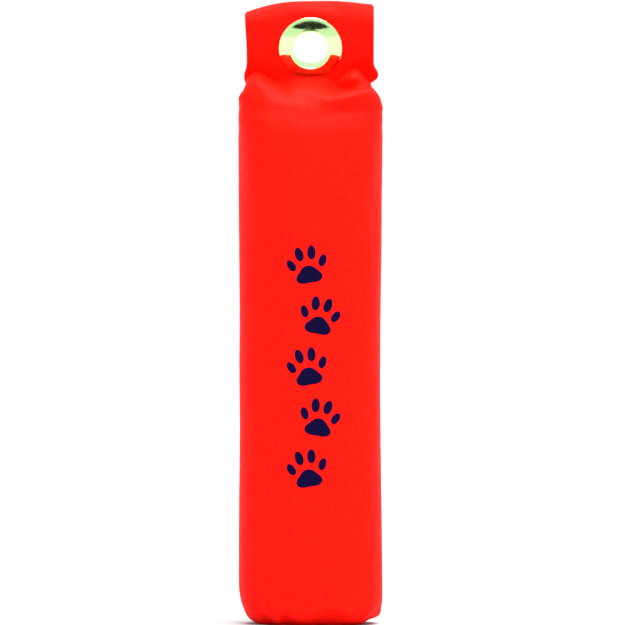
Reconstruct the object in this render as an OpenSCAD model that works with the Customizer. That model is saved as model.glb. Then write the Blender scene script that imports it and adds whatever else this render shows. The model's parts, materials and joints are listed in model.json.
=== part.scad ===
// Soft training bumper for retrieving work: a closed-cell foam log inside a sewn nylon cover.
// The cover runs on past the foam as a flat header tab, which carries a two-part metal
// grommet for a throw line and flexes on the fold where the foam ends.
// Millimetres. +Z runs up the length, the printed face looks along -Y, and the origin is
// the middle of the flat end that the bumper stands on.

/* [Body] */
// Height from the flat end to the top of the header
overall_h = 304.8; // [290:0.1:330]
// Width of the stuffed body
body_w = 70; // [66:0.5:76]
// Front-to-back thickness of the stuffed body
body_t = 52; // [46:0.5:56]
// Radius round the edge of the closed end
end_r = 11; // [8:0.5:14]
// Radius round the upper edge of the foam log
foam_top_r = 14; // [10:0.5:18]

/* [Cover] */
// Thickness of one ply of coated nylon
ply = 0.75; // [0.5:0.05:0.9]
// Width of the lap over the seam down the back
lap_w = 10; // [8:0.5:12]

/* [Header] */
// Width of the header tab
header_w = 62; // [56:0.5:64]
// Length of the header tab, from its fold to its top edge
header_l = 42; // [40:0.5:46]
// How far the header leans towards the printed face at rest
header_lean = 20; // [0:1:30]
// How far each side of the tube is tucked into the header
tuck_d = 17.5; // [14:0.5:18]

/* [Grommet] */
// Radius of the eye that the throw line runs through
eye_r = 9; // [8:0.1:9.4]
// Outer radius of the grommet's flange
flange_r = 15.6; // [14.5:0.1:16]
// Height of the eye above the header's fold
eye_v = 19.05; // [18.5:0.05:20]
// Crown of the flange above the cloth
crown_h = 2; // [1:0.1:2.5]
// Thickness of the grommet's sheet metal
sheet = 0.5; // [0.4:0.05:0.6]

/* [Stitching] */
// Radius of the sewing thread
thread_r = 0.3; // [0.2:0.05:0.35]
// Length of thread that shows in one stitch
stitch_l = 3; // [2.5:0.1:3.4]
// Distance from one stitch to the next
stitch_pitch = 4; // [3.8:0.1:5]

/* [Print] */
// Height of the lowest paw's centre
print_z = 76; // [60:1:90]
// Distance between the centres of two paws
paw_pitch = 25; // [24:1:30]
// Thickness of the printed ink
ink = 0.25; // [0.15:0.05:0.4]

/* [Hidden] */
$fn = 64;
hair = 0.05;                                  // gap left between two pieces that only touch
inner_w = body_w - 2 * ply;
inner_t = body_t - 2 * ply;
end_top_z = end_r + 3;                        // where the rounded end meets the straight sleeve
header_t = 4 * ply;                           // two outer plies with two more folded between them
fold_r = header_t / 2;
fold_z = overall_h - header_l * cos(header_lean) - fold_r * sin(header_lean);
foam_top_z = fold_z - 12.8;
sleeve_top_z = fold_z - 16.8;                 // the shoulder starts here, at the body's full section
shoulder_mid_z = fold_z - 8.8;                // and has narrowed to half its thickness here
shoulder_in = 0.8;                            // how far each side has come in by then
ridge_z = fold_z - fold_r - 0.4;              // top of the shoulder, under the fold
ridge_w = 61;
ridge_t = 2;
header_v0 = fold_r + 0.2;                     // the header's plies start just clear of the fold
edge_in = 0.4;                                // the inner plies stop this far short of the edges
turn_in_v0 = 5;                               // where the turned-in edges end, above the fold
base_row_v = header_v0 + 0.9;                 // the row of stitches along the header's base
hem_row_v = header_l - 3.5;                   // and the row under its top edge
hole_r = eye_r + sheet + 0.1;                 // hole punched in each ply
washer_t = 0.6;
washer_bevel = 0.5;
roll_r = 1.3;                                 // radius of the barrel's rolled end
seam_w = 46;                                  // allowance of the turned seam across the end
seam_d = 8;
seam_row_y = 1.5;                             // the seam's stitches run this far from its fold
paw_count = 5;
lap_z0 = end_top_z;
lap_l = sleeve_top_z - lap_z0;
lap_row_x = 0.36 * lap_w;                     // each of the lap's two rows runs this far from its middle

// ---- shapes that repeat ----

// Cross-section of the stuffed body: a flat front and back with half-round sides
module slot_2d(w, t) {
    square([w - t, t], center = true);
    for (side = [-1, 1])
        translate([side * (w - t) / 2, 0]) circle(d = t);
}

// Half of a lengthwise section, from its axis out to half, with its lower and upper corners rounded
module half_section(half, z0, z1, r0, r1) {
    translate([0, z0 + r0]) square([half, z1 - z0 - r0 - r1]);
    translate([0, z0]) square([half - r0, z1 - z0]);
    translate([half - r0, z0 + r0]) circle(r = r0);
    if (r1 > 0) {
        translate([0, z0 + r0]) square([half - r1, z1 - z0 - r0]);
        translate([half - r1, z1 - r1]) circle(r = r1);
    }
}

// Solid log of the slot section, with its lower edge rounded by r0 and its upper edge by r1
module log(w, t, z0, z1, r0, r1 = 0) {
    for (side = [-1, 1])
        translate([side * (w - t) / 2, 0, 0])
            rotate_extrude()
                intersection() {
                    half_section(t / 2, z0, z1, r0, r1);
                    translate([0, z0]) square([t, z1 - z0]);
                }
    rotate([90, 0, 90])
        linear_extrude(w - t, center = true)
            for (side = [0, 1])
                mirror([side, 0])
                    intersection() {
                        half_section(t / 2, z0, z1, r0, r1);
                        translate([0, z0]) square([t, z1 - z0]);
                    }
}

// Row of stitches along X that lies on the plane y = 0 and stands out towards -Y
module stitch_row(count) {
    for (i = [0 : count - 1])
        translate([(i - (count - 1) / 2) * stitch_pitch, 0, 0])
            intersection() {
                rotate([0, 90, 0]) cylinder(r = thread_r, h = stitch_l, center = true, $fn = 24);
                translate([-stitch_l / 2, -thread_r, -thread_r])
                    cube([stitch_l, thread_r, 2 * thread_r]);
            }
}

// Moves a child from the header's own frame, whose z runs up the tab from the fold, into place
module in_header() {
    translate([0, 0, fold_z]) rotate([header_lean, 0, 0]) children();
}

// Moves a child whose axis is z, with the cloth's middle at z = 0, onto the eye's axis
module on_eye() {
    in_header() translate([0, 0, eye_v]) rotate([90, 0, 0]) children();
}

// One layer of the header: from x0 to x1 and v0 to v1, between y0 and y1, with the eye's hole
module header_layer(x0, x1, y0, y1, v0, v1) {
    difference() {
        in_header() translate([x0, y0, v0]) cube([x1 - x0, y1 - y0, v1 - v0]);
        on_eye() cylinder(r = hole_r, h = 4 * header_t, center = true);
    }
}

// A row of stitches on the front and one on the back of the header, at height v
module header_stitches(v, count) {
    in_header()
        for (turn = [0, 180])
            rotate([0, 0, turn]) translate([0, -fold_r, v]) stitch_row(count);
}

// Points of a half ellipse from the angle from to the angle to, about [cx, cy]
function arc(cx, cy, a, b, from, to, steps = 12) =
    [for (i = [0 : steps]) let (t = from + (to - from) * i / steps) [cx + a * cos(t), cy + b * sin(t)]];

// A round-ended bar, for one toe of a paw
module toe(w, l) {
    square([w, l - w], center = true);
    for (end = [-1, 1])
        translate([0, end * (l - w) / 2]) circle(d = w);
}

// A paw, toes up, about 19 wide and 20 high
module paw_2d() {
    translate([0, -3.4]) circle(r = 4.6);
    for (side = [-1, 1]) {
        translate([side * 3.6, -5.6]) circle(r = 3.3);
        translate([side * 3, 5.6]) rotate(-side * 8) toe(4.2, 7);
        translate([side * 7.6, 0.9]) rotate(-side * 26) toe(3.8, 6.2);
    }
    translate([0, -6]) square([7.2, 4], center = true);
}

// ---- body ----

module foam_core() {
    color("whitesmoke")
        log(inner_w - 2 * hair, inner_t - 2 * hair, 3 * ply + thread_r + hair, foam_top_z,
            end_r - ply, foam_top_r);
}

module cover_sleeve() {
    color("orangered")
        translate([0, 0, end_top_z])
            linear_extrude(sleeve_top_z - end_top_z)
                difference() {
                    slot_2d(body_w, body_t);
                    slot_2d(inner_w, inner_t);
                }
}

module cover_end() {
    color("orangered")
        difference() {
            log(body_w, body_t, 0, end_top_z, end_r);
            log(inner_w, inner_t, ply, end_top_z + 1, end_r - ply);
        }
}

// Outer or inner skin of the shoulder, from the sleeve up to the ridge under the fold
module shoulder_form(inset, z0) {
    hull() {
        translate([0, 0, z0])
            linear_extrude(0.01) slot_2d(body_w - 2 * inset, body_t - 2 * inset, $fn = 48);
        translate([0, 0, shoulder_mid_z - inset])
            linear_extrude(0.01)
                slot_2d(body_w - 2 * shoulder_in - 2 * inset, body_t / 2 - 2 * inset, $fn = 32);
        translate([0, 0, ridge_z - 1.3 * inset])
            linear_extrude(0.01) square([ridge_w - 2 * inset, ridge_t - inset], center = true);
    }
}

module cover_shoulder() {
    color("orangered")
        difference() {
            shoulder_form(0, sleeve_top_z);
            shoulder_form(ply, sleeve_top_z - 0.5);
        }
}

module back_seam_lap() {
    color("orangered")
        translate([-lap_w / 2, body_t / 2, lap_z0]) cube([lap_w, ply, lap_l]);
}

module back_seam_stitches() {
    color("tomato")
        for (side = [-1, 1])
            translate([side * lap_row_x, body_t / 2 + ply, lap_z0 + lap_l / 2])
                rotate([0, 0, 180]) rotate([0, 90, 0])
                    stitch_row(floor((lap_l - 4) / stitch_pitch));
}

module end_seam_allowance() {
    color("orangered")
        translate([-seam_w / 2, 0, ply]) cube([seam_w, seam_d, 2 * ply]);
}

module end_seam_stitches() {
    color("tomato")
        translate([0, seam_row_y, 3 * ply])
            rotate([-90, 0, 0]) stitch_row(floor(seam_w / stitch_pitch));
}

module print_paws() {
    color("midnightblue")
        intersection() {
            rotate([90, 0, 0])
                linear_extrude(body_t)
                    for (i = [0 : paw_count - 1])
                        let (side = i % 2 == 0 ? -1 : 1)
                            translate([side * 3 + 1.5, print_z + i * paw_pitch])
                                rotate(-side * 10) paw_2d();
            translate([0, 0, print_z - paw_pitch])
                linear_extrude((paw_count + 1) * paw_pitch)
                    difference() {
                        slot_2d(body_w + 2 * ink, body_t + 2 * ink);
                        slot_2d(body_w, body_t);
                    }
        }
}

// ---- header ----

module header_fold() {
    color("orangered") {
        translate([0, 0, fold_z]) rotate([0, 90, 0]) cylinder(r = fold_r, h = ridge_w, center = true);
        translate([-ridge_w / 2, -ridge_t / 2, ridge_z + 0.02])
            cube([ridge_w, ridge_t, fold_z - ridge_z - 0.02]);
    }
}

module header_front_ply() {
    color("orangered")
        header_layer(-header_w / 2, header_w / 2, -2 * ply, -ply, header_v0, header_l);
}

module header_back_ply() {
    color("orangered")
        header_layer(-header_w / 2, header_w / 2, ply, 2 * ply, header_v0, header_l);
}

// The side of the tube, pressed flat between the front and back plies. side is -1 left, 1 right
module header_tuck(side) {
    edge = side * (header_w / 2 - edge_in);
    inner = side * (header_w / 2 - tuck_d);
    color("orangered")
        header_layer(min(edge, inner), max(edge, inner), -ply, ply, header_v0, header_l - edge_in);
}

module header_tuck_left() {
    header_tuck(-1);
}

module header_tuck_right() {
    header_tuck(1);
}

// The raw top edges, turned down inside between the tucks, one ply from each face
module header_turn_in() {
    half = header_w / 2 - tuck_d - hair;
    color("orangered")
        for (face = [-1, 1])
            header_layer(-half, half, min(face * ply, face * hair / 2), max(face * ply, face * hair / 2),
                         turn_in_v0, header_l - edge_in);
}

module header_base_stitches() {
    color("tomato") header_stitches(base_row_v, floor(header_w / stitch_pitch));
}

module header_hem_stitches() {
    color("tomato") header_stitches(hem_row_v, floor(header_w / stitch_pitch));
}

// ---- grommet ----

// Front half: a crowned flange, the barrel through the cloth, and its end rolled over the washer
module grommet_eyelet() {
    mid_r = (eye_r + flange_r) / 2;
    half_w = (flange_r - eye_r) / 2;
    back = -fold_r - washer_t;
    roll_c = eye_r + roll_r;
    color("palegoldenrod")
        on_eye()
            rotate_extrude($fn = 96)
                polygon(concat(
                    arc(mid_r, fold_r, half_w, crown_h, 0, 180),
                    arc(roll_c, back, roll_r, roll_r, 180, 360),
                    arc(roll_c, back, roll_r - sheet, roll_r - sheet, 360, 180),
                    arc(mid_r, fold_r, half_w - sheet, crown_h - sheet, 180, 0)));
}

// Back half: the flat washer that the barrel is rolled over
module grommet_washer() {
    back = -fold_r - washer_t;
    rim = flange_r - 0.2;
    color("palegoldenrod")
        on_eye()
            rotate_extrude($fn = 96)
                polygon([[hole_r, back], [rim - washer_bevel, back], [rim, back + washer_bevel / 2],
                         [rim, -fold_r], [hole_r, -fold_r]]);
}

foam_core();
cover_sleeve();
cover_end();
cover_shoulder();
back_seam_lap();
back_seam_stitches();
end_seam_allowance();
end_seam_stitches();
print_paws();
header_fold();
header_front_ply();
header_back_ply();
header_tuck_left();
header_tuck_right();
header_turn_in();
header_base_stitches();
header_hem_stitches();
grommet_eyelet();
grommet_washer();
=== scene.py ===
"""Looks of the training bumper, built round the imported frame.

One sewn cover runs from the closed end, up the stuffed body and over the shoulder into the flat
header, where its sides are tucked in. It is worked out as a grid: rows along the bumper's length,
columns round its girth. Everything that lies on the cover (seams, thread, print) is placed from it.
Metres, in the frame's own axes: +Z up the length, the printed face looks along -Y.
"""

import json
import math

import bmesh
import bpy
import numpy as np
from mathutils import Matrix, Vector
from mathutils.bvhtree import BVHTree

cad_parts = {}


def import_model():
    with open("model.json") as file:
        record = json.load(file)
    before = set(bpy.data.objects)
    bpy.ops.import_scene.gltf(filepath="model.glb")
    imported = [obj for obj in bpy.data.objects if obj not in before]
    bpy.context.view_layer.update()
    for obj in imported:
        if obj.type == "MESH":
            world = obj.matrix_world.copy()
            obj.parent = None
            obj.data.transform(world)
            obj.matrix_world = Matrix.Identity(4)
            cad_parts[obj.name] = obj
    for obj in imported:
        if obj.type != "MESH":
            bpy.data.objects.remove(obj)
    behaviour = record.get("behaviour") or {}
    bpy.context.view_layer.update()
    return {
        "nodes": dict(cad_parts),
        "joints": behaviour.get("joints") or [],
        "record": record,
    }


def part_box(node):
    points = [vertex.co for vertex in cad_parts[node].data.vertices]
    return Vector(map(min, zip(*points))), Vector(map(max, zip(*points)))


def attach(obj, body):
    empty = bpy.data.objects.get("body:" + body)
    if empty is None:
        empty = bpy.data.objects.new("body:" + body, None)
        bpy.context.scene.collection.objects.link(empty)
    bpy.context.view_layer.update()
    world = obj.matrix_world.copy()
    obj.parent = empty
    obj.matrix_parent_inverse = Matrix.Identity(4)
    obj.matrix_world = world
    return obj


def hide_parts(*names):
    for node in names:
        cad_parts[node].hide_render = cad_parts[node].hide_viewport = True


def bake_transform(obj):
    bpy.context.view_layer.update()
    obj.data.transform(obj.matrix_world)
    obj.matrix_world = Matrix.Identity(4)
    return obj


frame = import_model()

MM = 0.001

# ---- sizes, from the frame ----

BODY, HEADER = "bumper_body", "header"
sleeve_lo, sleeve_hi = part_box("cover_sleeve")
lap_lo, lap_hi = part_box("back_seam_lap")
ply_lo, ply_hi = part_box("header_front_ply")
eye = next(m for m in frame["record"]["mounts"] if m["name"] == "throw_line_eye")
joint = next(j for j in frame["joints"] if j["name"] == "header_flex")

HALF_W = sleeve_hi.x
HALF_T = sleeve_hi.y
FOLD_Z = joint["pos_m"][2]
LEAN = math.asin(-eye["axis"][2])
EYE_V = math.hypot(eye["pos_m"][1], eye["pos_m"][2] - FOLD_Z)
EYE_R = eye["dims"]["r_mm"] * MM
HEADER_HALF_W = ply_hi.x
HEADER_L = (ply_hi.z - FOLD_Z) / math.cos(LEAN)
WASHER_T = 0.6 * MM
HEADER_T = eye["dims"]["length_mm"] * MM - WASHER_T
PLY = HEADER_T / 4
FLANGE_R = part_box("grommet_eyelet")[1].x

# ---- sizes that only the looks need ----

STITCH_L = 2.9 * MM
STITCH_PITCH = 4 * MM
THREAD_R = 0.24 * MM
LAP_HALF = (lap_hi.x - lap_lo.x) / 2
LAP_ROW = 0.72                    # where the lap's two rows of stitches run, as a share of its half
BASE_ROW = 2.6 * MM               # height of the header's lower row of stitches over the fold
HEM_ROW = 3.2 * MM                # how far its upper row runs below the top edge
PAW_COUNT = 5
PAW_HALF = 9.9 * MM
PAW_ASIDE = 3 * MM                # how far each paw steps to its own side
PAW_TURN = 10                     # degrees that it turns out
FLANGE_SLOPES = 38, 26            # degrees, at the flange's rim and at its crown
WEAVE = 1.1 * MM                  # two yarns of the cloth

# ---- the cover's grid ----

CLOTH = 0.62 * MM                 # thickness of the cloth
QUARTER = 54                      # columns in a quarter of the girth
COLUMNS = 4 * QUARTER
SHOULDER_Z = FOLD_Z - 25 * MM     # the stuffed section starts to close here
BOTTOM_ROWS, CORNER_ROWS, BODY_ROWS, SHOULDER_ROWS, HEADER_ROWS = 18, 14, 96, 46, 40
SQUARENESS = 2.6                  # superellipse exponent of the stuffed section
SEAM_LINE_HALF = 9 * MM
FOLD_LIFT = 3.0 * MM              # how far the stuffing lifts the middle of the header's base
SETTLE_FRAMES = 20
SWELL = 1.6 * MM                  # the furthest that the simulation may move the cloth


def smooth(a, b, x):
    """0 below a, 1 above b, and smooth between."""
    t = np.clip((np.asarray(x, float) - a) / (b - a), 0, 1)
    return t * t * (3 - 2 * t)


def bell(x, middle, width):
    """A bump of height 1 at middle, that fades out over width."""
    return np.exp(-(((np.asarray(x, float) - middle) / width) ** 2))


def along(points, share):
    """Points at those shares of the length of a fine polyline."""
    steps = np.hypot(*np.diff(points, axis=0).T)
    done = np.concatenate([[0], np.cumsum(steps)])
    where = np.asarray(share) * done[-1]
    return np.interp(where, done, points[:, 0]), np.interp(where, done, points[:, 1])


def stuffed_quarter(a, b, share, power=SQUARENESS):
    """Quarter of a superellipse, from the front middle (0, -b) to the side (a, 0)."""
    turn = np.linspace(0, math.pi / 2, 400)
    x = a * np.sin(turn) ** (2 / power)
    y = -b * np.cos(turn) ** (2 / power)
    return along(np.column_stack([x, y]), share)


def quarter_length():
    """Length of cloth from the front middle to the side of the stuffed section."""
    turn = np.linspace(0, math.pi / 2, 400)
    x = HALF_W * np.sin(turn) ** (2 / SQUARENESS)
    y = HALF_T * np.cos(turn) ** (2 / SQUARENESS)
    return np.hypot(np.diff(x), np.diff(y)).sum()


GIRTH_4 = quarter_length()
FOLD_R = PLY / 2                  # radius of the cloth's middle where it folds back on itself
EDGE_X = HEADER_HALF_W - FOLD_R   # where the front ply turns back into the tuck
FOLD_L = math.pi * FOLD_R
TUCK_L = GIRTH_4 - EDGE_X - 1.5 * FOLD_L
TUCK_X = EDGE_X - TUCK_L


def pleated_quarter(share):
    """Quarter of the flat header: the front ply, its fold, and the tuck back to its middle."""
    turn = np.linspace(0, math.pi, 24)
    edge = np.column_stack([EDGE_X + FOLD_R * np.sin(turn), -2 * FOLD_R - FOLD_R * np.cos(turn)])
    turn = np.linspace(0, math.pi / 2, 12)
    inner = np.column_stack([TUCK_X - FOLD_R * np.sin(turn), -FOLD_R * np.cos(turn)])
    points = np.vstack([[0, -3 * FOLD_R], edge, inner])
    return along(points, share)


def pleated_shares():
    """Where the columns lie in the header, close together round its two folds."""
    marks = np.array([0, EDGE_X - 0.3 * MM, EDGE_X + FOLD_L + 0.3 * MM, GIRTH_4 - FOLD_L, GIRTH_4])
    counts = [29, 7, 14, QUARTER - 50]
    parts = [np.linspace(marks[i], marks[i + 1], n, endpoint=False) for i, n in enumerate(counts)]
    return np.append(np.concatenate(parts), GIRTH_4) / GIRTH_4


EVEN = np.linspace(0, 1, QUARTER + 1)
PLEATED = pleated_shares()


def whole_ring(x, y):
    """Mirrors a quarter to a whole ring, from the front middle round by +X."""
    ring_x = np.concatenate([x, x[-2::-1], -x[1:], -x[-2:0:-1]])
    ring_y = np.concatenate([y, -y[-2::-1], -y[1:], y[-2:0:-1]])
    return np.column_stack([ring_x, ring_y])


def ring_girth(share):
    """How far round the girth each column lies, in metres, for a quarter's shares."""
    q = share * GIRTH_4
    return np.concatenate([q, 2 * GIRTH_4 - q[-2::-1], 2 * GIRTH_4 + q[1:], 4 * GIRTH_4 - q[-2:0:-1]])


def end_corners(ring):
    """How far the closed end's corner reaches in and up at each column, and how square it is.

    The left corner is soft, the right one is fuller, and the front edge rises in two low arches.
    """
    x, y = ring[:, 0], ring[:, 1]
    side = np.abs(x) / HALF_W
    left = smooth(0.3, 0.95, -x / HALF_W)
    right = smooth(0.75, 1.0, x / HALF_W)
    front = smooth(0.3, 0.8, -y / HALF_T) * (1 - smooth(0.72, 0.95, side))
    arches = 3.4 * bell(x, 10 * MM, 8 * MM) + 2.6 * bell(x, -11 * MM, 4.5 * MM) - 1.8
    reach = 8 * MM + 7.5 * MM * left + 1.5 * MM * right
    rise = 5 * MM + 19 * MM * left + 13 * MM * right + front * arches * MM
    power = 2.1 + 0.3 * left + 0.6 * right - 0.75 * front
    return reach, rise, power


def closed_end(rows):
    """The end's flat underside from its seam outwards, then the corner up to the wall."""
    outer = whole_ring(*stuffed_quarter(HALF_W, HALF_T, EVEN))
    middle = whole_ring(*stuffed_quarter(SEAM_LINE_HALF, 0.0, EVEN))
    reach, rise, power = end_corners(outer)
    lowest = CLOTH / 2
    for step in np.linspace(0, 1, BOTTOM_ROWS, endpoint=False):
        inset = (HALF_T + (reach - HALF_T) * step) / HALF_T
        flat = outer * (1 - inset)[:, None] + middle * inset[:, None]
        rows.append(np.column_stack([flat, np.full(COLUMNS, lowest)]))
    for turn in np.linspace(0, math.pi / 2, CORNER_ROWS, endpoint=False):
        inset = reach * (1 - math.sin(turn) ** (2 / power)) / HALF_T
        flat = outer * (1 - inset)[:, None] + middle * inset[:, None]
        rows.append(np.column_stack([flat, lowest + rise * (1 - math.cos(turn) ** (2 / power))]))
    return outer, lowest + rise


def undercut(x, y, z):
    """The front's lower edge is drawn under, below a crease that runs in two low arches."""
    across = smooth(-16 * MM, -12 * MM, x) * (1 - smooth(22 * MM, 27 * MM, x))
    crease = (2.8 + 3.4 * bell(x, 10.5 * MM, 8 * MM) + 2.8 * bell(x, -13 * MM, 4 * MM)) * MM
    under = 1 - smooth(crease - 1.0 * MM, crease + 0.8 * MM, z)
    lip = bell(z, crease + 1.6 * MM, 1.4 * MM)
    front = smooth(5 * MM, 13 * MM, -y)
    return (3.2 * under - 0.6 * lip) * MM * across * front


def shape_end(points):
    """The seam's groove across the end, and the ear of its right corner."""
    x, y, z = points[..., 0], points[..., 1], points[..., 2]
    low = 1 - smooth(4 * MM, 16 * MM, z)
    ripple = 0.16 * np.cos(x * 2 * math.pi / (5.5 * MM)) * bell(np.abs(y), 3.5 * MM, 3 * MM)
    depth = (0.5 * bell(y, 0, 1.4 * MM) + ripple * smooth(0, 2 * MM, np.abs(y))) * low
    moved = points - grid_normals(points) * (depth * MM)[..., None]
    moved[..., 1] += undercut(x, y, z)
    lift = 3.6 * MM * smooth(21 * MM, 30 * MM, x) * (1 - smooth(0, 9 * MM, z))
    ear = 2.0 * MM * bell(z + lift, 4.4 * MM, 1.8 * MM)
    ear = ear * smooth(26 * MM, 31 * MM, x) * bell(y, 0, 12 * MM)
    pinch = 0.9 * MM * bell(z, 8.5 * MM, 1.6 * MM)
    pinch = pinch * smooth(25 * MM, 30 * MM, x) * bell(y, -8 * MM, 7 * MM)
    moved[..., 0] += ear - pinch
    moved[..., 2] += lift
    moved[..., 2] = np.maximum(moved[..., 2], CLOTH / 2)
    moved[0, :, 1] = 0
    moved[0, :, 2] = CLOTH / 2 + 0.45 * MM
    return moved


def body_wall(rows, outer, rise):
    for step in np.linspace(0, 1, BODY_ROWS, endpoint=False):
        z = rise + (SHOULDER_Z - rise) * step
        rows.append(np.column_stack([outer, z]))


def shoulder(rows):
    """The stuffed section closes to the header's flat, pleated one."""
    power = 2 / 1.85
    for turn in np.linspace(0, math.pi / 2, SHOULDER_ROWS + 1):
        rise = math.sin(turn) ** power
        closing = 1 - math.cos(turn) ** power
        share = EVEN + (PLEATED - EVEN) * smooth(0.15, 0.85, rise)
        squarer = SQUARENESS + 1.6 * float(smooth(0.35, 0.95, rise))
        x0, y0 = stuffed_quarter(HALF_W, HALF_T, share, squarer)
        x1, y1 = pleated_quarter(share)
        tucking = float(smooth(0.35, 1.0, turn / (math.pi / 2))) ** 0.8
        x = x0 + (x1 - x0) * tucking
        y = y0 + (y1 - y0) * closing
        z = SHOULDER_Z + (FOLD_Z - SHOULDER_Z) * rise
        rows.append(np.column_stack([whole_ring(x, y), np.full(COLUMNS, z)]))


def header_width(x, v):
    """How much wider than nominal the header is: its corners flare, and it narrows at the fold."""
    left = 1.4 * bell(v, 4 * MM, 4 * MM) + 1.0 * smooth(0.4, 1.0, v / HEADER_L) - 0.1
    right = 2.3 * bell(v, 5.0 * MM, 3.4 * MM) - 0.3 - 2.6 * bell(v, 0, 1.8 * MM)
    return 1 + np.where(x < 0, left, right) * MM / HEADER_HALF_W


def header_top(x):
    """Length of the header above the fold: its left corner is low and its right one a little."""
    side = x / HEADER_HALF_W
    drop = np.where(side < 0, 4.0 * np.abs(side) ** 2.0, 1.1 * np.abs(side) ** 1.6)
    return HEADER_L - 1.3 * MM - drop * MM


def between_puffs(x):
    """1 in the middle of the fold, where the stuffing lifts the header's base, and 0 beside it."""
    return smooth(-13 * MM, -8 * MM, x) * (1 - smooth(6 * MM, 12 * MM, x))


def header_bow(x, v):
    """How far the header stands back from its plane: the top edge and its corners curl back."""
    side = np.abs(x) / HEADER_HALF_W
    curl = 5.4 * MM * smooth(0.76, 1.05, v / HEADER_L) ** 1.2 * (1 + 0.6 * side**3)
    wave = 0.5 * MM * np.sin(x / (11 * MM) + 0.6) * smooth(0.2, 0.9, v / HEADER_L)
    sides = 4.0 * MM * smooth(0.4, 1.35, side) / smooth(0.4, 1.35, 1) * smooth(0.05, 0.4, v / HEADER_L)
    from_eye = np.hypot(x, v - EYE_V)
    rim = 0.12 * MM * np.cos(9 * np.arctan2(v - EYE_V, x)) * bell(from_eye, 18.5 * MM, 2 * MM)
    free = smooth(FLANGE_R, FLANGE_R + 8 * MM, from_eye)
    return (curl + wave) * free - sides * smooth(FLANGE_R, FLANGE_R + 3 * MM, from_eye) + rim


def pressed(x, v):
    """How much of its thickness the header keeps: the grommet presses its plies together."""
    return 1 - 0.14 * (1 - smooth(FLANGE_R, FLANGE_R + 2.5 * MM, np.hypot(x, v - EYE_V)))


def in_header(x, depth, v):
    """Row-frame points of the header's own plane: across it, back from it and up from the fold."""
    y = depth * math.cos(LEAN) - v * math.sin(LEAN)
    z = FOLD_Z + depth * math.sin(LEAN) + v * math.cos(LEAN)
    return np.stack(np.broadcast_arrays(x, y, z), axis=-1)


def header_point(x, depth, v):
    """A point of the header's cloth, bowed and flared as it hangs."""
    x = np.asarray(x, float)
    depth = np.asarray(depth, float) * pressed(x, v) + header_bow(x, v)
    return in_header(x * header_width(x, v), depth, v)


def header_plies(rows):
    ring = whole_ring(*pleated_quarter(PLEATED))
    base = FOLD_LIFT * between_puffs(ring[:, 0])
    for step in np.linspace(0, 1, HEADER_ROWS + 1)[1:]:
        v = base + (header_top(ring[:, 0]) - base) * step
        rows.append(header_point(ring[:, 0], ring[:, 1], v))


def puff(x, middle, left, right):
    """A bump across the front, as wide on each side as asked."""
    return np.where(x < middle, bell(x, middle, left), bell(x, middle, right))


def puff_shoulder(points):
    """Cloth stands up before the header's base: high at its corners, low between them."""
    x, y, z = points[..., 0], points[..., 1], points[..., 2]
    high = smooth(FOLD_Z - 15 * MM, FOLD_Z - 2.5 * MM, z)
    before = high * smooth(1.2 * MM, 4.5 * MM, -y)
    left = puff(x, -27 * MM, 4.5 * MM, 8 * MM) * before
    right = puff(x, 22 * MM, 8 * MM, 6.5 * MM) * before
    middle = between_puffs(x) * high
    up = 6.2 * left + 7.8 * right + FOLD_LIFT / MM * middle
    out = 2.0 * left + 3.4 * right
    return points + np.stack([np.zeros_like(x), -out * MM, up * MM], axis=-1)


def fold_shoulder(points):
    """Creases of the shoulder's front: a dimple under the right puff, and soft rolls round it."""
    x, y, z = points[..., 0], points[..., 1], points[..., 2]
    front = smooth(1.5 * MM, 6 * MM, -y)
    below = FOLD_Z - z
    dimple = bell(x, 17 * MM, 8.5 * MM) * bell(below + 0.10 * (x - 17 * MM), 1.5 * MM, 2.4 * MM)
    hang = 9.0 * MM - 0.014 * (x / MM - 13) ** 2 * MM
    roll = bell(x, 15 * MM, 13 * MM) * bell(below, hang, 3.2 * MM)
    lowest = 12 * MM - 0.010 * (x / MM) ** 2 * MM
    sling = (1 - smooth(20 * MM, 28 * MM, np.abs(x))) * bell(below, lowest, 4 * MM)
    left_roll = bell(x, -20 * MM, 9 * MM) * bell(below - 0.2 * (x + 20 * MM), 2.5 * MM, 2.8 * MM)
    drag = bell(x - 0.5 * below, 26 * MM, 3.0 * MM) * bell(below, 5 * MM, 7 * MM)
    push = 5.8 * dimple - 2.4 * roll - 0.9 * sling - 1.0 * left_roll - 0.7 * drag
    moved = points.copy()
    moved[..., 1] += push * front * MM
    moved[..., 2] -= 0.35 * push * front * MM
    return moved


def fillet_fold(points, fold):
    """Between its puffs the cloth runs into the header in a round curve, not in a sharp fold."""
    first, last = fold - 20, fold + 4
    stretch = points[first:last + 1]
    steps = np.linalg.norm(np.diff(stretch, axis=0), axis=2)
    share = np.vstack([np.zeros(COLUMNS), np.cumsum(steps, axis=0)])
    share = (share / share[-1])[..., None]
    start, corner, end = points[first], points[fold] + [0, -1.4 * MM, 0], points[last]
    curve = (1 - share) ** 2 * start + 2 * share * (1 - share) * corner + share**2 * end
    front = (whole_ring(*stuffed_quarter(1, 1, EVEN))[:, 1] < 0)[None, :]
    wide = smooth(-20 * MM, -9 * MM, stretch[..., 0]) * (1 - smooth(8 * MM, 15 * MM, stretch[..., 0]))
    weight = (wide * front * 0.9)[..., None]
    points[first:last + 1] = stretch * (1 - weight) + curve * weight


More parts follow.
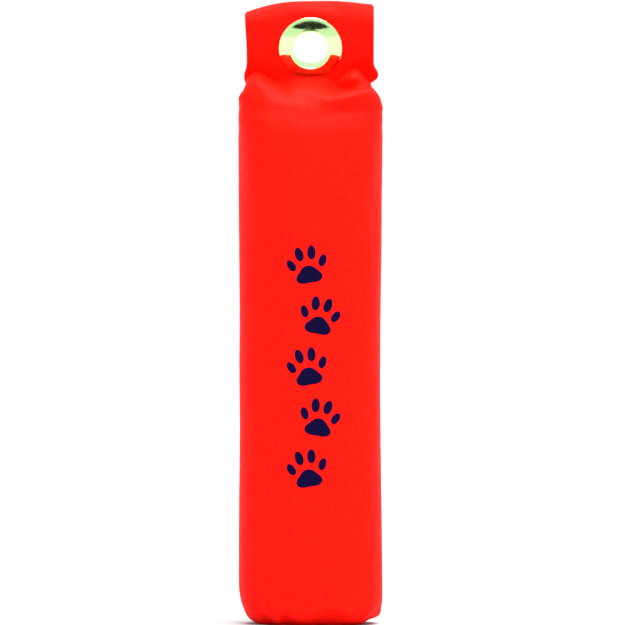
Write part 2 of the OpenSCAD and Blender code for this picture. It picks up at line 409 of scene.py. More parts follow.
def widen_shoulder(points):
    """The shoulder's corners stay square, because the tucks pull only the sides' middle in."""
    x, y, z = points[..., 0], points[..., 1], points[..., 2]
    below = FOLD_Z - z
    left = 2.5 * bell(below, 6.8 * MM, 3.6 * MM) - 0.5 * bell(below, 11.8 * MM, 1.8 * MM)
    right = 1.6 * smooth(3 * MM, 7 * MM, below) * (1 - smooth(7.5 * MM, 15.5 * MM, below))
    under = 0.45 * bell(below, 17 * MM, 4.5 * MM)
    notch = 1.7 * (1 - smooth(1 * MM, 5 * MM, below)) * smooth(0.62, 0.85, x / HALF_W)
    corner = smooth(0.62, 0.9, np.abs(x) / HALF_W) * smooth(0.5 * MM, 4 * MM, np.abs(y))
    moved = points.copy()
    moved[..., 0] += (np.where(x < 0, -left - under, right + under) * corner - notch) * MM
    return moved


def waist(points):
    """The body is a little narrower at its middle, on its right more than its left."""
    x, z = points[..., 0], points[..., 2]
    middle = np.sin(np.clip(z / (FOLD_Z - 10 * MM), 0, 1) * math.pi) ** 1.5
    side = np.where(x > 0, 1.6, 1.3) * middle + 0.6 * bell(z, 218 * MM, 22 * MM)
    moved = points.copy()
    moved[..., 0] *= 1 - side * MM / HALF_W
    return moved


def settle(points):
    """Lets the stuffed cloth settle under its filling, held by the fold and by the end's seam.

    A coarser copy of the grid is simulated, and its movement is carried back to the whole grid.
    """
    coarse = points[::2, ::2]
    rows, columns = coarse.shape[:2]
    piece = add_mesh("settling", coarse.reshape(-1, 3), grid_faces(rows, columns))
    held = piece.vertex_groups.new(name="held")
    for j in (0, rows - 2, rows - 1):
        held.add(list(range(j * columns, (j + 1) * columns)), 1.0, "REPLACE")
    cloth = piece.modifiers.new("settle", "CLOTH")
    set_up_cloth(cloth)
    scene = bpy.context.scene
    for step in range(1, SETTLE_FRAMES + 1):
        scene.frame_set(step)
    settled = piece.evaluated_get(bpy.context.evaluated_depsgraph_get()).data
    flat = np.empty(len(settled.vertices) * 3)
    settled.vertices.foreach_get("co", flat)
    moved = flat.reshape(rows, columns, 3) - coarse
    scene.frame_set(1)
    bpy.data.objects.remove(piece, do_unlink=True)
    length = np.linalg.norm(moved, axis=-1, keepdims=True)
    moved *= SWELL * np.tanh(length / SWELL) / np.maximum(length, 1e-9)
    free = smooth(0, 6, rows - 1 - np.arange(rows))[:, None, None]
    return points + finer(without_ripples(moved) * free)


def without_ripples(field, passes=18):
    """The field with its short ripples along the length averaged out, as tight cloth has none."""
    for _ in range(passes):
        wider = np.concatenate([field[:1], field, field[-1:]])
        field = (wider[:-2] + 2 * wider[1:-1] + wider[2:]) / 4
    return field


def set_up_cloth(cloth):
    settings = cloth.settings
    settings.quality = 6
    settings.mass = 0.2
    settings.tension_stiffness = settings.compression_stiffness = 20
    settings.shear_stiffness = 5
    settings.bending_stiffness = 0.4
    settings.vertex_group_mass = "held"
    settings.use_pressure = True
    settings.uniform_pressure_force = 4
    settings.shrink_min = -0.02
    settings.effector_weights.gravity = 0
    cloth.collision_settings.use_collision = False
    cloth.point_cache.frame_start = 1
    cloth.point_cache.frame_end = SETTLE_FRAMES


def finer(field):
    """A field on every second row and column, filled in for all of them."""
    rows = np.empty((2 * len(field) - 1, *field.shape[1:]))
    rows[::2] = field
    rows[1::2] = (field[1:] + field[:-1]) / 2
    whole = np.empty((len(rows), 2 * field.shape[1], 3))
    whole[:, ::2] = rows
    whole[:, 1::2] = (rows + np.roll(rows, -1, axis=1)) / 2
    return whole


def value_noise(length, cells, seed):
    """Smooth noise on the grid, periodic round the girth. cells is its count of cells each way.

    length is how far each row lies along the cloth, so that the cells keep their size.
    """
    rng = np.random.default_rng(seed)
    up, round_ = cells
    grid = rng.uniform(-1, 1, (up + 2, round_))
    j = length / length[-1] * up
    i = np.linspace(0, round_, COLUMNS, endpoint=False)
    j0, i0 = j.astype(int), i.astype(int)
    fj, fi = smooth(0, 1, j - j0)[:, None], smooth(0, 1, i - i0)[None, :]
    i1 = (i0 + 1) % round_
    low = grid[j0][:, i0] * (1 - fi) + grid[j0][:, i1] * fi
    high = grid[j0 + 1][:, i0] * (1 - fi) + grid[j0 + 1][:, i1] * fi
    return low * (1 - fj) + high * fj


def grid_normals(points):
    """Outward normals of the grid."""
    round_ = np.roll(points, -1, axis=1) - np.roll(points, 1, axis=1)
    up = np.gradient(points, axis=0)
    normal = np.cross(round_, up)
    length = np.linalg.norm(normal, axis=-1, keepdims=True)
    return normal / np.maximum(length, 1e-12)


def wrinkle(points):
    """Low ripples over the stuffed cloth, deeper by the two ends."""
    z = points[..., 2]
    steps = np.linalg.norm(np.diff(points[:, 0], axis=0), axis=1)
    length = np.concatenate([[0], np.cumsum(steps)])
    stuffed = smooth(0, 4 * MM, z) * (1 - smooth(FOLD_Z - 6 * MM, FOLD_Z, z))
    near_end = bell(z, 0, 16 * MM)
    near_top = bell(z, FOLD_Z - 8 * MM, 17 * MM)
    slow = 0.22 * value_noise(length, (9, 7), 11)
    drag = 0.34 * value_noise(length, (14, 40), 5) * (near_end + 0.4 * near_top)
    fine = 0.05 * value_noise(length, (70, 60), 3)
    height = (slow + drag + fine) * MM * stuffed
    return points + grid_normals(points) * height[..., None]


def cover_grid():
    rows = []
    outer, rise = closed_end(rows)
    body_wall(rows, outer, rise)
    shoulder(rows)
    first = len(rows)
    header_plies(rows)
    points = np.array(rows)
    body = settle(waist(points[:first]))
    body = widen_shoulder(puff_shoulder(body))
    points[:first] = shape_end(wrinkle(fold_shoulder(body)))
    fillet_fold(points, first - 1)
    return points


def cover_coordinates(points):
    """Where each grid point lies in the flat cloth: round the girth and along the length."""
    steps = np.linalg.norm(np.diff(points[:, 0], axis=0), axis=1)
    v = np.concatenate([[0], np.cumsum(steps)])
    u = np.append(ring_girth(EVEN), 4 * GIRTH_4)
    return u, v


def add_mesh(name, verts, faces):
    mesh = bpy.data.meshes.new(name)
    mesh.from_pydata([tuple(p) for p in verts], [], faces)
    mesh.validate()
    mesh.update()
    piece = bpy.data.objects.new(name, mesh)
    bpy.context.scene.collection.objects.link(piece)
    for face in mesh.polygons:
        face.use_smooth = True
    return piece


def make_active(piece):
    bpy.ops.object.select_all(action="DESELECT")
    piece.select_set(True)
    bpy.context.view_layer.objects.active = piece


def apply_all(piece):
    """Turns a piece's modifiers into its mesh."""
    make_active(piece)
    for modifier in list(piece.modifiers):
        bpy.ops.object.modifier_apply(modifier=modifier.name)


def open_eye(points, faces, first_header_row):
    """Leaves out the header's faces that the grommet's eye passes through, and rounds the edge."""
    hole = EYE_R + 1.1 * MM
    flat = points.reshape(-1, 3)
    centre = np.array(eye["pos_m"])
    axis = np.array(eye["axis"])
    away = flat - centre
    away = away - (away @ axis)[:, None] * axis
    radius = np.linalg.norm(away, axis=1)
    of_header = np.arange(len(flat)) >= first_header_row * COLUMNS
    inside = of_header & (radius < hole + 0.3 * MM)
    kept = [f for f in faces if not any(inside[i] for i in f)]
    edge = set()
    for f in faces:
        if any(inside[i] for i in f):
            edge.update(i for i in f if not inside[i])
    for i in edge:
        flat[i] -= away[i] * (1 - hole / radius[i])
    return kept


def cloth_map(piece, u, v, columns):
    """Stores the flat cloth's coordinates, in metres, as the mesh's UV map."""
    layer = piece.data.uv_layers.new(name="cloth")
    for face in piece.data.polygons:
        ids = [piece.data.loops[k].vertex_index for k in face.loop_indices]
        wraps = any(i % columns == 0 for i in ids) and any(i % columns == columns - 1 for i in ids)
        for k, i in zip(face.loop_indices, ids):
            column = i % columns
            if wraps and column == 0:
                column = columns
            layer.data[k].uv = (u[column], v[i // columns])


def grid_faces(rows, columns, closed=True):
    """Quads of a grid of points, joined round if closed."""
    faces = []
    for j in range(rows - 1):
        for i in range(columns if closed else columns - 1):
            k = (i + 1) % columns
            faces.append((j * columns + i, j * columns + k, (j + 1) * columns + k, (j + 1) * columns + i))
    return faces


def close_seam_line(piece):
    """Joins the front and the back of the cover along the closed end's seam."""
    bm = bmesh.new()
    bm.from_mesh(piece.data)
    bmesh.ops.remove_doubles(bm, verts=bm.verts, dist=1e-7)
    loose = [v for v in bm.verts if not v.link_faces]
    bmesh.ops.delete(bm, geom=loose, context="VERTS")
    bm.to_mesh(piece.data)
    bm.free()


def face_outwards(piece):
    bm = bmesh.new()
    bm.from_mesh(piece.data)
    bmesh.ops.recalc_face_normals(bm, faces=bm.faces)
    bm.to_mesh(piece.data)
    bm.free()


def cover(points):
    """The whole sewn cover: one sheet of cloth, open at the header's top."""
    rows = len(points)
    faces = open_eye(points, grid_faces(rows, COLUMNS), rows - HEADER_ROWS)
    piece = add_mesh("cover", points.reshape(-1, 3), faces)
    cloth_map(piece, *cover_coordinates(points), COLUMNS)
    close_seam_line(piece)
    thicken = piece.modifiers.new("cloth", "SOLIDIFY")
    thicken.thickness = CLOTH
    thicken.offset = 0
    apply_all(piece)
    return piece


# ---- pieces on the cover ----


def tube(name, rings, closed_ends=True):
    """A mesh from a list of rings of points, capped at both ends unless they close themselves."""
    count = len(rings[0])
    faces = grid_faces(len(rings), count)
    if closed_ends:
        faces.append(tuple(range(count))[::-1])
        faces.append(tuple((len(rings) - 1) * count + i for i in range(count)))
    piece = add_mesh(name, np.vstack(rings), faces)
    face_outwards(piece)
    return piece


def back_line(points, across):
    """Grid points down the middle of the back, at that distance to one side, and their normals."""
    near = slice(2 * QUARTER - 10, 2 * QUARTER + 11)
    normals = grid_normals(points)
    line, facing = [], []
    for row, normal in zip(points[:, near], normals[:, near]):
        order = np.argsort(row[:, 0])
        line.append([np.interp(across, row[order, 0], row[order, k]) for k in range(3)])
        facing.append([np.interp(across, row[order, 0], normal[order, k]) for k in range(3)])
    facing = np.array(facing)
    return np.array(line), facing / np.linalg.norm(facing, axis=1, keepdims=True)


def lap_height(share, along_seam):
    """Height of the lapped seam over the cover: round at its edges, drawn in at its two rows."""
    edge = (1 - np.abs(share) ** 10) ** 0.5
    row = bell(np.abs(share), LAP_ROW, 0.14)
    pucker = 0.5 + 0.5 * np.cos(along_seam * 2 * math.pi / STITCH_PITCH)
    return edge * (0.78 * MM - row * (0.16 + 0.14 * pucker) * MM)


def back_lap(points):
    """The lap over the seam that closes the tube, from the closed end up to the header's base."""
    shares = np.concatenate([np.linspace(-1, 1, 25), np.linspace(0.97, -0.97, 5)])
    under = 25
    lines = [back_line(points, share * LAP_HALF) for share in shares]
    first, last = BOTTOM_ROWS + 3, BOTTOM_ROWS + CORNER_ROWS + BODY_ROWS + SHOULDER_ROWS - 3
    steps = np.linalg.norm(np.diff(lines[12][0], axis=0), axis=1)
    length = np.concatenate([[0], np.cumsum(steps)])
    rings = []
    for j in range(first, last):
        thin = smooth(0, 5, min(j - first, last - 1 - j))
        ring = []
        for i, (share, (line, facing)) in enumerate(zip(shares, lines)):
            high = CLOTH / 2 + lap_height(share, length[j]) * (0.25 + 0.75 * thin)
            ring.append(line[j] + facing[j] * (high if i < under else 0))
        ring = np.array(ring)
        ring[:, 2] = np.maximum(ring[:, 2], 0.02 * MM)
        rings.append(ring)
    return tube("back_seam_lap", rings)


def stitches(name, paths, lift):
    """Stitches along one or more paths, each path a line of points and their normals."""
    verts, faces = [], []
    for line, facing in paths:
        steps = np.linalg.norm(np.diff(line, axis=0), axis=1)
        length = np.concatenate([[0], np.cumsum(steps)])
        count = int((length[-1] - STITCH_L) / STITCH_PITCH) + 1
        start = (length[-1] - (count - 1) * STITCH_PITCH) / 2
        for n in range(count):
            add_stitch(verts, faces, line, facing, length, start + n * STITCH_PITCH, lift)
    piece = add_mesh(name, verts, faces)
    face_outwards(piece)
    return piece


def add_stitch(verts, faces, line, facing, length, middle, lift):
    """One stitch: thread that comes up out of the cloth, lies on it and goes down again."""
    rings, sides = 9, 8
    first = len(verts)
    for t in np.linspace(-1, 1, rings):
        at = middle + t * STITCH_L / 2
        point = np.array([np.interp(at, length, line[:, k]) for k in range(3)])
        normal = np.array([np.interp(at, length, facing[:, k]) for k in range(3)])
        ahead = np.array([np.interp(at + 0.2 * MM, length, line[:, k]) for k in range(3)])
        behind = np.array([np.interp(at - 0.2 * MM, length, line[:, k]) for k in range(3)])
        run = (ahead - behind) / np.linalg.norm(ahead - behind)
        side = np.cross(run, normal)
        radius = THREAD_R * (1 - 0.75 * abs(t) ** 6)
        centre = point + normal * (lift + 0.05 * MM - 0.34 * MM * abs(t) ** 4)
        for a in np.arange(sides) * 2 * math.pi / sides:
            verts.append(centre + radius * (math.cos(a) * side + math.sin(a) * normal))
    for r in range(rings - 1):
        for a in range(sides):
            b = (a + 1) % sides
            low, high = first + r * sides, first + (r + 1) * sides
            faces.append((low + a, low + b, high + b, high + a))
    faces.append(tuple(first + a for a in range(sides))[::-1])
    faces.append(tuple(first + (rings - 1) * sides + a for a in range(sides)))


def back_seam_thread(points):
    """Two rows of stitches down the lap."""
    first, last = BOTTOM_ROWS + 8, BOTTOM_ROWS + CORNER_ROWS + BODY_ROWS + SHOULDER_ROWS - 8
    paths = []
    for side in (-1, 1):
        line, facing = back_line(points, side * LAP_ROW * LAP_HALF)
        paths.append((line[first:last], facing[first:last]))
    return stitches("back_seam_thread", paths, CLOTH / 2 + 0.55 * MM)


def header_row(face, x, v):
    """Path of a row of stitches on one face of the header, as points and normals."""
    outer = face * (1.5 * PLY + CLOTH / 2)
    line = header_point(x, outer, v)
    back = header_point(x, outer - 0.5 * MM * face, v)
    facing = (line - back) / np.linalg.norm(line - back, axis=1, keepdims=True)
    return line, facing


def header_thread(name, height):
    """A row of stitches on each face, at the height that height(x) gives."""
    x = np.linspace(-1, 1, 200) * (HEADER_HALF_W - 1.2 * MM)
    return stitches(name, [header_row(face, x, height(x)) for face in (-1, 1)], -0.2 * MM)


def turned_edges():
    """The top edges of the plies, folded down inside the header, front and back."""
    parts = [(-EDGE_X, -TUCK_X, 0.8 * MM), (-TUCK_X, TUCK_X, 8 * MM), (TUCK_X, EDGE_X, 0.8 * MM)]
    verts, faces = [], []
    for face in (-1, 1):
        for x0, x1, leg in parts:
            add_turned_edge(verts, faces, face, x0, x1, leg)
    piece = add_mesh("header_turned_edges", verts, faces)
    face_outwards(piece)
    thicken = piece.modifiers.new("cloth", "SOLIDIFY")
    thicken.thickness = CLOTH
    thicken.offset = 0
    apply_all(piece)
    return piece


def add_turned_edge(verts, faces, face, x0, x1, leg):
    """One stretch of turned edge: half a turn over the top, then a leg down inside."""
    first = len(verts)
    x = np.linspace(x0, x1, max(6, int((x1 - x0) / MM)))
    turn = np.linspace(0, math.pi, 9)
    depths = list(face * (2 * FOLD_R + FOLD_R * np.cos(turn))) + [face * FOLD_R] * 3
    heights = list(FOLD_R * np.sin(turn)) + list(-leg * np.array([0.3, 0.65, 1]))
    for depth, height in zip(depths, heights):
        verts.extend(header_point(x, depth, header_top(x) + height))
    for f in grid_faces(len(depths), len(x), closed=False):
        faces.append(tuple(first + i for i in f))


def foam_log(points):
    """The foam that stuffs the cover, a little inside it, with its upper end closed."""
    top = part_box("foam_core")[1].z
    last = int(np.argmax(points[:, 0, 2] > top - 4 * MM))
    inside = 1.2 * MM + 1.6 * MM * (1 - smooth(0, 7 * MM, points[1:last, :, 2:3]))
    skin = points[1:last] - grid_normals(points)[1:last] * inside
    skin[..., 2] = np.maximum(skin[..., 2], 2.9 * MM)
    rings = [skin[0] * [0.5, 0.02, 1]]
    rings.extend(skin)
    rim = skin[-1]
    middle = np.column_stack([np.clip(rim[:, 0], -SEAM_LINE_HALF, SEAM_LINE_HALF), 0 * rim[:, 1]])
    for turn in np.linspace(0, 1, 12)[1:]:
        level = rim[:, 2] + (top - rim[:, 2]) * math.sin(turn * math.pi / 2) ** 0.7
        flat = rim[:, :2] * (1 - turn) + middle * turn
        rings.append(np.column_stack([flat, level]))
    return tube("foam_log", rings, closed_ends=False)


def lathe(name, profile, segments=160):
    """A ring of metal on the eye's axis, from points (radius, height in front of the middle)."""
    verts, faces = [], []
    count = len(profile)
    for a in np.arange(segments) * 2 * math.pi / segments:
        radius = np.array([p[0] for p in profile])
        height = np.array([p[1] for p in profile])
        verts.extend(in_header(radius * math.cos(a), -height, EYE_V + radius * math.sin(a)))
    for n in range(segments):
        m = (n + 1) % segments
        for i in range(count):
            k = (i + 1) % count
            faces.append((n * count + i, m * count + i, m * count + k, n * count + k))
    piece = add_mesh(name, verts, faces)
    face_outwards(piece)
    return piece


def curve_points(points, count):
    """A smooth line through a few points, by Catmull-Rom."""
    p = np.array([points[0], *points, points[-1]], float)
    out = []
    for i in range(1, len(p) - 2):
        for t in np.linspace(0, 1, count, endpoint=False):
            a = 2 * p[i]
            b = p[i + 1] - p[i - 1]
            c = 2 * p[i - 1] - 5 * p[i] + 4 * p[i + 1] - p[i + 2]
            d = 3 * p[i] - p[i - 1] - 3 * p[i + 1] + p[i + 2]
            out.append((a + b * t + c * t**2 + d * t**3) / 2)
    out.append(p[-2])
    return [tuple(q) for q in out]


def grommet_front():
    """Flange that rises like a cone to its crown, the barrel, and the barrel's rolled end."""
    face = HEADER_T / 2
    back = -face - WASHER_T
    rim = FLANGE_R
    roll, gauge = 1.3 * MM, 0.5 * MM
    radius = np.linspace(rim - 0.2 * MM, EYE_R + 0.75 * MM, 9)
    slope = np.radians(np.linspace(*FLANGE_SLOPES, 9))
    height = 0.45 * MM - np.concatenate([[0], np.cumsum(np.diff(radius) * np.tan(slope[1:]))])
    crown = height[-1]
    outer = curve_points([
        (rim, face), (rim - 0.01 * MM, face + 0.2 * MM), *zip(radius, face + height),
        (EYE_R + 0.3 * MM, face + crown - 0.1 * MM), (EYE_R + 0.05 * MM, face + crown - 0.6 * MM),
        (EYE_R, face + crown - 1.2 * MM), (EYE_R, face)], 5)
    turn = np.linspace(math.pi, 2 * math.pi, 17)
    rolled = [(EYE_R + roll + roll * math.cos(a), back + roll * math.sin(a)) for a in turn]
    inner_roll = [(EYE_R + roll + (roll - gauge) * math.cos(a), back + (roll - gauge) * math.sin(a))
                  for a in turn[::-1]]
    inside = [(EYE_R + gauge, face), (EYE_R + gauge, face + crown - 1.3 * MM),
              (EYE_R + 1.5 * MM, face + crown - 1.0 * MM), (rim - 0.9 * MM, face + 0.1 * MM)]
    return lathe("grommet_front", outer + rolled + inner_roll + inside)


def grommet_back():
    """The washer that the barrel is rolled over, domed a little towards its rim."""
    face = -HEADER_T / 2
    rim = FLANGE_R - 0.2 * MM
    hole = EYE_R + 0.6 * MM
    outer = curve_points([
        (hole, face - WASHER_T), (hole + 3.2 * MM, face - WASHER_T), (rim - 1.6 * MM, face - 1.05 * MM),
        (rim - 0.4 * MM, face - 0.75 * MM), (rim, face - 0.25 * MM), (rim, face)], 6)
    return lathe("grommet_back", outer + [(hole, face)])


# ---- print ----


def turned(points, degrees):
    """Points of a plane, turned about its origin."""
    c, s = math.cos(math.radians(degrees)), math.sin(math.radians(degrees))
    return points @ np.array([[c, s], [-s, c]])


def paw_pads():
    """Outlines of a paw's pads, toes up, in metres about the paw's middle."""
    turn = np.linspace(0, 2 * math.pi, 56, endpoint=False)
    pads = []
    for x, y, wide, tall, lean in ((-7.6, 1.0, 1.9, 3.1, 26), (-3.0, 5.7, 2.1, 3.5, 8),
                                   (3.0, 5.7, 2.1, 3.5, -8), (7.6, 1.0, 1.9, 3.1, -26)):
        toe = np.column_stack([wide * np.cos(turn), tall * np.sin(turn) * (1 + 0.06 * np.sin(turn))])
        pads.append(turned(toe, lean) + [x, y])
    lobes = 1 + 0.13 * np.cos(3 * (turn - math.pi / 2)) + 0.05 * np.cos(turn * 2)
    pads.append(np.column_stack([5.9 * lobes * np.cos(turn), -4.9 + 4.5 * lobes * np.sin(turn)]))
    return [pad * MM for pad in pads]


def paw_prints(points):
    """A trail of paws printed up the front, as a thin skin of ink on the cloth."""
    lo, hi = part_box("print_paws")
    pitch = (hi.z - lo.z - 2 * PAW_HALF) / (PAW_COUNT - 1)
    skin = BVHTree.FromPolygons([Vector(p) for p in points.reshape(-1, 3)],
                                grid_faces(len(points), COLUMNS))
    verts, faces = [], []
    for n in range(PAW_COUNT):
        side = -1 if n % 2 == 0 else 1
        place = [(lo.x + hi.x) / 2 + side * PAW_ASIDE, lo.z + PAW_HALF + n * pitch]
        for pad in paw_pads():
            outline = turned(pad, -side * PAW_TURN) + place
            add_pad(verts, faces, skin, outline.mean(axis=0), outline)
    piece = add_mesh("paw_prints", verts, faces)
    face_outwards(piece)
    return piece


def add_pad(verts, faces, skin, middle, outline):
    """One printed pad: rings from its middle out to its edge, then back under it."""
    first = len(verts)
    sides = len(outline)
    layers = [(s, 0.06) for s in (0.25, 0.5, 0.75, 0.93)] + [(0.985, 0.045), (1.0, 0.0), (0.97, -0.12)]
    verts.append(on_skin(skin, middle, 0.06 * MM))
    for share, height in layers:
        for q in outline:
            verts.append(on_skin(skin, middle + (q - middle) * share, height * MM))
    for i in range(sides):
        k = (i + 1) % sides
        faces.append((first, first + 1 + i, first + 1 + k))
        for r in range(len(layers) - 1):
            a, b = first + 1 + r * sides, first + 1 + (r + 1) * sides
            faces.append((a + i, b + i, b + k, a + k))
    last = first + 1 + (len(layers) - 1) * sides
    faces.append(tuple(last + i for i in range(sides)))


def on_skin(skin, place, height):
    """The point of the cover's outer face before (x, z), raised by height."""
    hit, normal, _, _ = skin.ray_cast(Vector((place[0], -1, place[1])), Vector((0, 1, 0)))
    if normal.y > 0:
        normal = -normal
    return np.array(hit + normal * (CLOTH / 2 + height))


# ---- materials ----


def new_material(name, color, roughness, specular=0.5):
    material = bpy.data.materials.new(name)
    material.use_nodes = True
    tree = material.node_tree
    shader = tree.nodes["Principled BSDF"]
    shader.inputs["Base Color"].default_value = (*color, 1)
    shader.inputs["Roughness"].default_value = roughness
    shader.inputs["Specular IOR Level"].default_value = specular
    return material, tree, shader


def add(tree, kind, inputs=(), **settings):
    """A node with those settings; inputs are (socket, value or the output to link)."""
    node = tree.nodes.new(kind)
    for name, value in settings.items():
        setattr(node, name, value)
    for socket, value in inputs:
        if isinstance(value, bpy.types.NodeSocket):
            tree.links.new(value, node.inputs[socket])
        else:
            node.inputs[socket].default_value = value
    return node


def add_bump(tree, shader, strength, distance, height):
    """Tilts the shading by a height. distance is the height's full scale, in metres."""
    inputs = [("Strength", strength), ("Distance", distance), ("Height", height)]
    bump = add(tree, "ShaderNodeBump", inputs)
    tree.links.new(bump.outputs[0], shader.inputs["Normal"])


def weave_height(tree):
    """Height of a plain weave, from the cloth's own coordinates, with uneven yarns."""
    place = add(tree, "ShaderNodeUVMap", uv_map="cloth")
    uneven = add(tree, "ShaderNodeTexNoise", [("Vector", place.outputs[0]), ("Scale", 260.0),
                                              ("Detail", 2.0)])
    pushed = add(tree, "ShaderNodeVectorMath", [(0, uneven.outputs["Color"]), ("Scale", 0.0005)],
                 operation="SCALE")
    moved = add(tree, "ShaderNodeVectorMath", [(0, place.outputs[0]), (1, pushed.outputs[0])])
    axes = add(tree, "ShaderNodeSeparateXYZ", [(0, moved.outputs[0])])
    waves = []
    for axis in ("X", "Y"):
        turn = add(tree, "ShaderNodeMath", [(0, axes.outputs[axis]), (1, 2 * math.pi / WEAVE)],
                   operation="MULTIPLY")
        waves.append(add(tree, "ShaderNodeMath", [(0, turn.outputs[0])], operation="SINE"))
    return add(tree, "ShaderNodeMath", [(0, waves[0].outputs[0]), (1, waves[1].outputs[0])],
               operation="MULTIPLY").outputs[0], place.outputs[0]


def nylon(name, color, shade):
    """Coated woven nylon, mottled at random with a deeper red; the weave is also painted into its colour,
    as painted light on the yarns and painted shade in the gaps between them.
    """
    material, tree, shader = new_material(name, color, 0.5, 0.05)
    weave, place = weave_height(tree)
    blotch = add(tree, "ShaderNodeTexNoise", [("Vector", place), ("Scale", 430.0), ("Detail", 3.0)])
    # painted light and shade of the weave: the yarns are lighter and the gaps between them darker
    weave_light_and_shade = add(tree, "ShaderNodeMath", [(0, weave), (1, 0.10), (2, 0.5)], operation="MULTIPLY_ADD")
    mixed = add(tree, "ShaderNodeMath", [(0, blotch.outputs[0]), (1, 0.5), (2, weave_light_and_shade.outputs[0])],
                operation="MULTIPLY_ADD")
    fac = add(tree, "ShaderNodeMapRange", [(0, mixed.outputs[0]), (1, 0.55), (2, 0.95)])
    # mixes towards the deeper red both by the random mottle and by the weave's painted shade
    mix = add(tree, "ShaderNodeMix", [("Factor", fac.outputs[0]), ("A", (*shade, 1)), ("B", (*color, 1))],
              data_type="RGBA")
    tree.links.new(mix.outputs["Result"], shader.inputs["Base Color"])
    slub = add(tree, "ShaderNodeTexNoise", [("Vector", place), ("Scale", 900.0), ("Detail", 2.0)])
    height = add(tree, "ShaderNodeMath", [(0, slub.outputs[0]), (1, 0.8), (2, weave)],
                 operation="MULTIPLY_ADD")
    add_bump(tree, shader, 0.5, 0.00008, height.outputs[0])
    rough = add(tree, "ShaderNodeMapRange", [(0, blotch.outputs[0]), (3, 0.48), (4, 0.62)])
    tree.links.new(rough.outputs[0], shader.inputs["Roughness"])
    return material


def thread(name, color):
    """Twisted sewing thread."""
    material, tree, shader = new_material(name, color, 0.5, 0.05)
    place = add(tree, "ShaderNodeTexCoord")
    twist = add(tree, "ShaderNodeTexWave", [("Vector", place.outputs["Object"]), ("Scale", 900.0),
                                            ("Distortion", 0.6)], bands_direction="DIAGONAL")
    add_bump(tree, shader, 0.6, 0.00006, twist.outputs[1])
    ramp = add(tree, "ShaderNodeMapRange", [(0, twist.outputs[1]), (3, 0.4), (4, 0.55)])
    tree.links.new(ramp.outputs[0], shader.inputs["Roughness"])
    return material


def ink(color):
    """Screen ink: it lies in the weave, with pinholes of wear."""
    material, tree, shader = new_material("print_ink", color, 0.5, 0.03)
    place = add(tree, "ShaderNodeTexCoord")
    grain = add(tree, "ShaderNodeTexNoise", [("Vector", place.outputs["Object"]), ("Scale", 700.0),
                                             ("Detail", 3.0)])
    fac = add(tree, "ShaderNodeMapRange", [(0, grain.outputs[0]), (1, 0.3), (2, 0.7)])
    mix = add(tree, "ShaderNodeMix", [("Factor", fac.outputs[0]), ("A", (*[c * 0.7 for c in color], 1)),
                                      ("B", (*[c * 1.3 for c in color], 1))], data_type="RGBA")
    tree.links.new(mix.outputs["Result"], shader.inputs["Base Color"])
    add_bump(tree, shader, 0.5, 0.00008, grain.outputs[0])
    return material


def metal(name, color):
    """Plated brass, polished, with faint uneven rubbing in its roughness and bump."""
    material, tree, shader = new_material(name, color, 0.1)
    shader.inputs["Metallic"].default_value = 1
    place = add(tree, "ShaderNodeTexCoord")
    rub = add(tree, "ShaderNodeTexNoise", [("Vector", place.outputs["Object"]), ("Scale", 380.0),
                                           ("Detail", 4.0), ("Roughness", 0.65)])
    rough = add(tree, "ShaderNodeMapRange", [(0, rub.outputs[0]), (1, 0.35), (2, 0.8),
                                             (3, 0.06), (4, 0.17)])
    tree.links.new(rough.outputs[0], shader.inputs["Roughness"])
    add_bump(tree, shader, 0.12, 0.00003, rub.outputs[0])
    return material


def foam(color):
    """Closed-cell foam: a skin of fine cells."""
    material, tree, shader = new_material("foam", color, 0.85, 0.3)
    place = add(tree, "ShaderNodeTexCoord")
    cells = add(tree, "ShaderNodeTexVoronoi", [("Vector", place.outputs["Object"]), ("Scale", 900.0)])
    add_bump(tree, shader, 0.7, 0.0003, cells.outputs[0])
    return material


def dress(piece, material, slot, *nodes):
    """Gives a piece its material, and hides the CAD nodes it stands for. slot is not used."""
    piece.data.materials.clear()
    piece.data.materials.append(material)
    if nodes:
        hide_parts(*nodes)


# ---- camera, floor and light ----


def camera():
    """Straight on, through a long lens, with the bumper filling the frame's height."""
    data = bpy.data.cameras.new("camera")
    distance, seen = 3.0, 306.8 * MM
    aside, level = 1.0 * MM, 152.7 * MM
    data.sensor_width = 36
    data.lens = data.sensor_width * distance / seen
    data.clip_start, data.clip_end = 0.1, 100
    piece = bpy.data.objects.new("camera", data)
    piece.location = (aside, -distance, level)
    piece.rotation_euler = (math.pi / 2, 0, 0)
    bpy.context.scene.collection.objects.link(piece)
    bpy.context.scene.camera = piece


def card(name, corners, color):
    piece = add_mesh(name, corners, [tuple(range(len(corners)))])
    material, _, _ = new_material(name, color, 0.9, 0.1)
    piece.data.materials.append(material)
    return piece


def floor():
    size = 14
    card("floor", [(-size, -size, 0), (size, -size, 0), (size, size, 0), (-size, size, 0)], (0.36,) * 3)


def black_card():
    """A dark wall on the camera's side of the studio, which only gloss and polished metal see."""
    away, half = -2.0, 2.0
    tip, crown, foot = 1.1, 1.55, 0.86
    across = np.linspace(-1, 1, 17)
    above = [(half * s, away, tip + (crown - tip) * (1 - s**2)) for s in across]
    below = [(half * s, away, tip + (foot - tip) * (1 - s**2)) for s in across[-2:0:-1]]
    piece = card("black_card", above + below, (0.004,) * 3)
    piece.visible_camera = False
    piece.visible_diffuse = False
    piece.visible_shadow = False
    piece.visible_transmission = False


def sun(name, elevation, azimuth, power, spread):
    """A soft distant lamp. Azimuth 0 shines from the front, and 90 from +X."""
    data = bpy.data.lights.new(name, "SUN")
    data.energy = power
    data.angle = math.radians(spread)
    lamp = bpy.data.objects.new(name, data)
    e, a = math.radians(elevation), math.radians(azimuth)
    towards = Vector((math.sin(a) * math.cos(e), -math.cos(a) * math.cos(e), math.sin(e)))
    lamp.rotation_euler = towards.to_track_quat("Z", "Y").to_euler()
    bpy.context.scene.collection.objects.link(lamp)


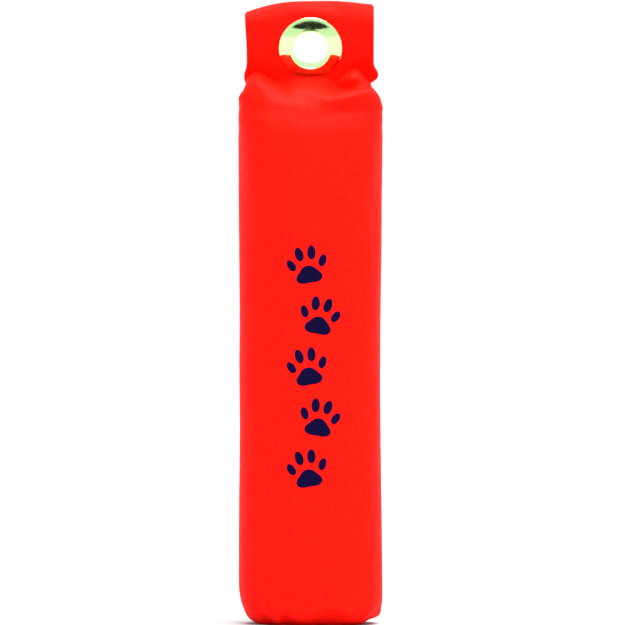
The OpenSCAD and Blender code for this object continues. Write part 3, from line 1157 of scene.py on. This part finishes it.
def world(strength):
    made = bpy.data.worlds.new("studio")
    bpy.context.scene.world = made
    made.use_nodes = True
    background = made.node_tree.nodes["Background"]
    background.inputs["Color"].default_value = (1, 1, 1, 1)
    background.inputs["Strength"].default_value = strength


def studio():
    camera()
    floor()
    black_card()
    world(1.02)
    sun("key", elevation=72, azimuth=30, power=10.5, spread=60)
    bpy.context.scene.view_settings.view_transform = "Standard"


# ---- the object ----

studio()

red_nylon = nylon("cover_nylon", (0.95, 0.0068, 0.0012), (0.80, 0.0014, 0.0002))
red_thread = thread("thread", (0.75, 0.0030, 0.0006))
navy_ink = ink((0.0022, 0.0008, 0.020))
plated_brass = metal("grommet_metal", (0.62, 0.93, 0.40))
pale_foam = foam((0.82, 0.81, 0.76))

grid = cover_grid()
foam_piece = foam_log(grid)
lap_piece = back_lap(grid)
lap_thread = back_seam_thread(grid)
paws = paw_prints(grid[:-HEADER_ROWS])
cover_piece = cover(grid)
edges = turned_edges()
base_thread = header_thread("header_base_thread", lambda x: np.full_like(x, BASE_ROW))
hem_thread = header_thread("header_hem_thread", lambda x: header_top(x) - HEM_ROW)
eyelet = grommet_front()
washer = grommet_back()

dress(cover_piece, red_nylon, "cover_nylon", "cover_sleeve", "cover_end", "cover_shoulder", "header_fold",
      "header_front_ply", "header_back_ply", "header_tuck_left", "header_tuck_right")
dress(lap_piece, red_nylon, "cover_nylon", "back_seam_lap")
dress(lap_thread, red_thread, "thread", "back_seam_stitches")
dress(paws, navy_ink, "print_ink", "print_paws")
dress(edges, red_nylon, "cover_nylon", "header_turn_in")
dress(base_thread, red_thread, "thread", "header_base_stitches")
dress(hem_thread, red_thread, "thread", "header_hem_stitches")
dress(eyelet, plated_brass, "grommet_metal", "grommet_eyelet")
dress(washer, plated_brass, "grommet_metal", "grommet_washer")
dress(foam_piece, pale_foam, "foam", "foam_core")
dress(frame["nodes"]["end_seam_allowance"], red_nylon, "cover_nylon")
dress(frame["nodes"]["end_seam_stitches"], red_thread, "thread")

for piece in (cover_piece, lap_piece, lap_thread):
    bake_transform(piece)
for piece in (foam_piece, paws):
    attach(piece, BODY)
for piece in (edges, base_thread, hem_thread, eyelet, washer):
    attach(piece, HEADER)
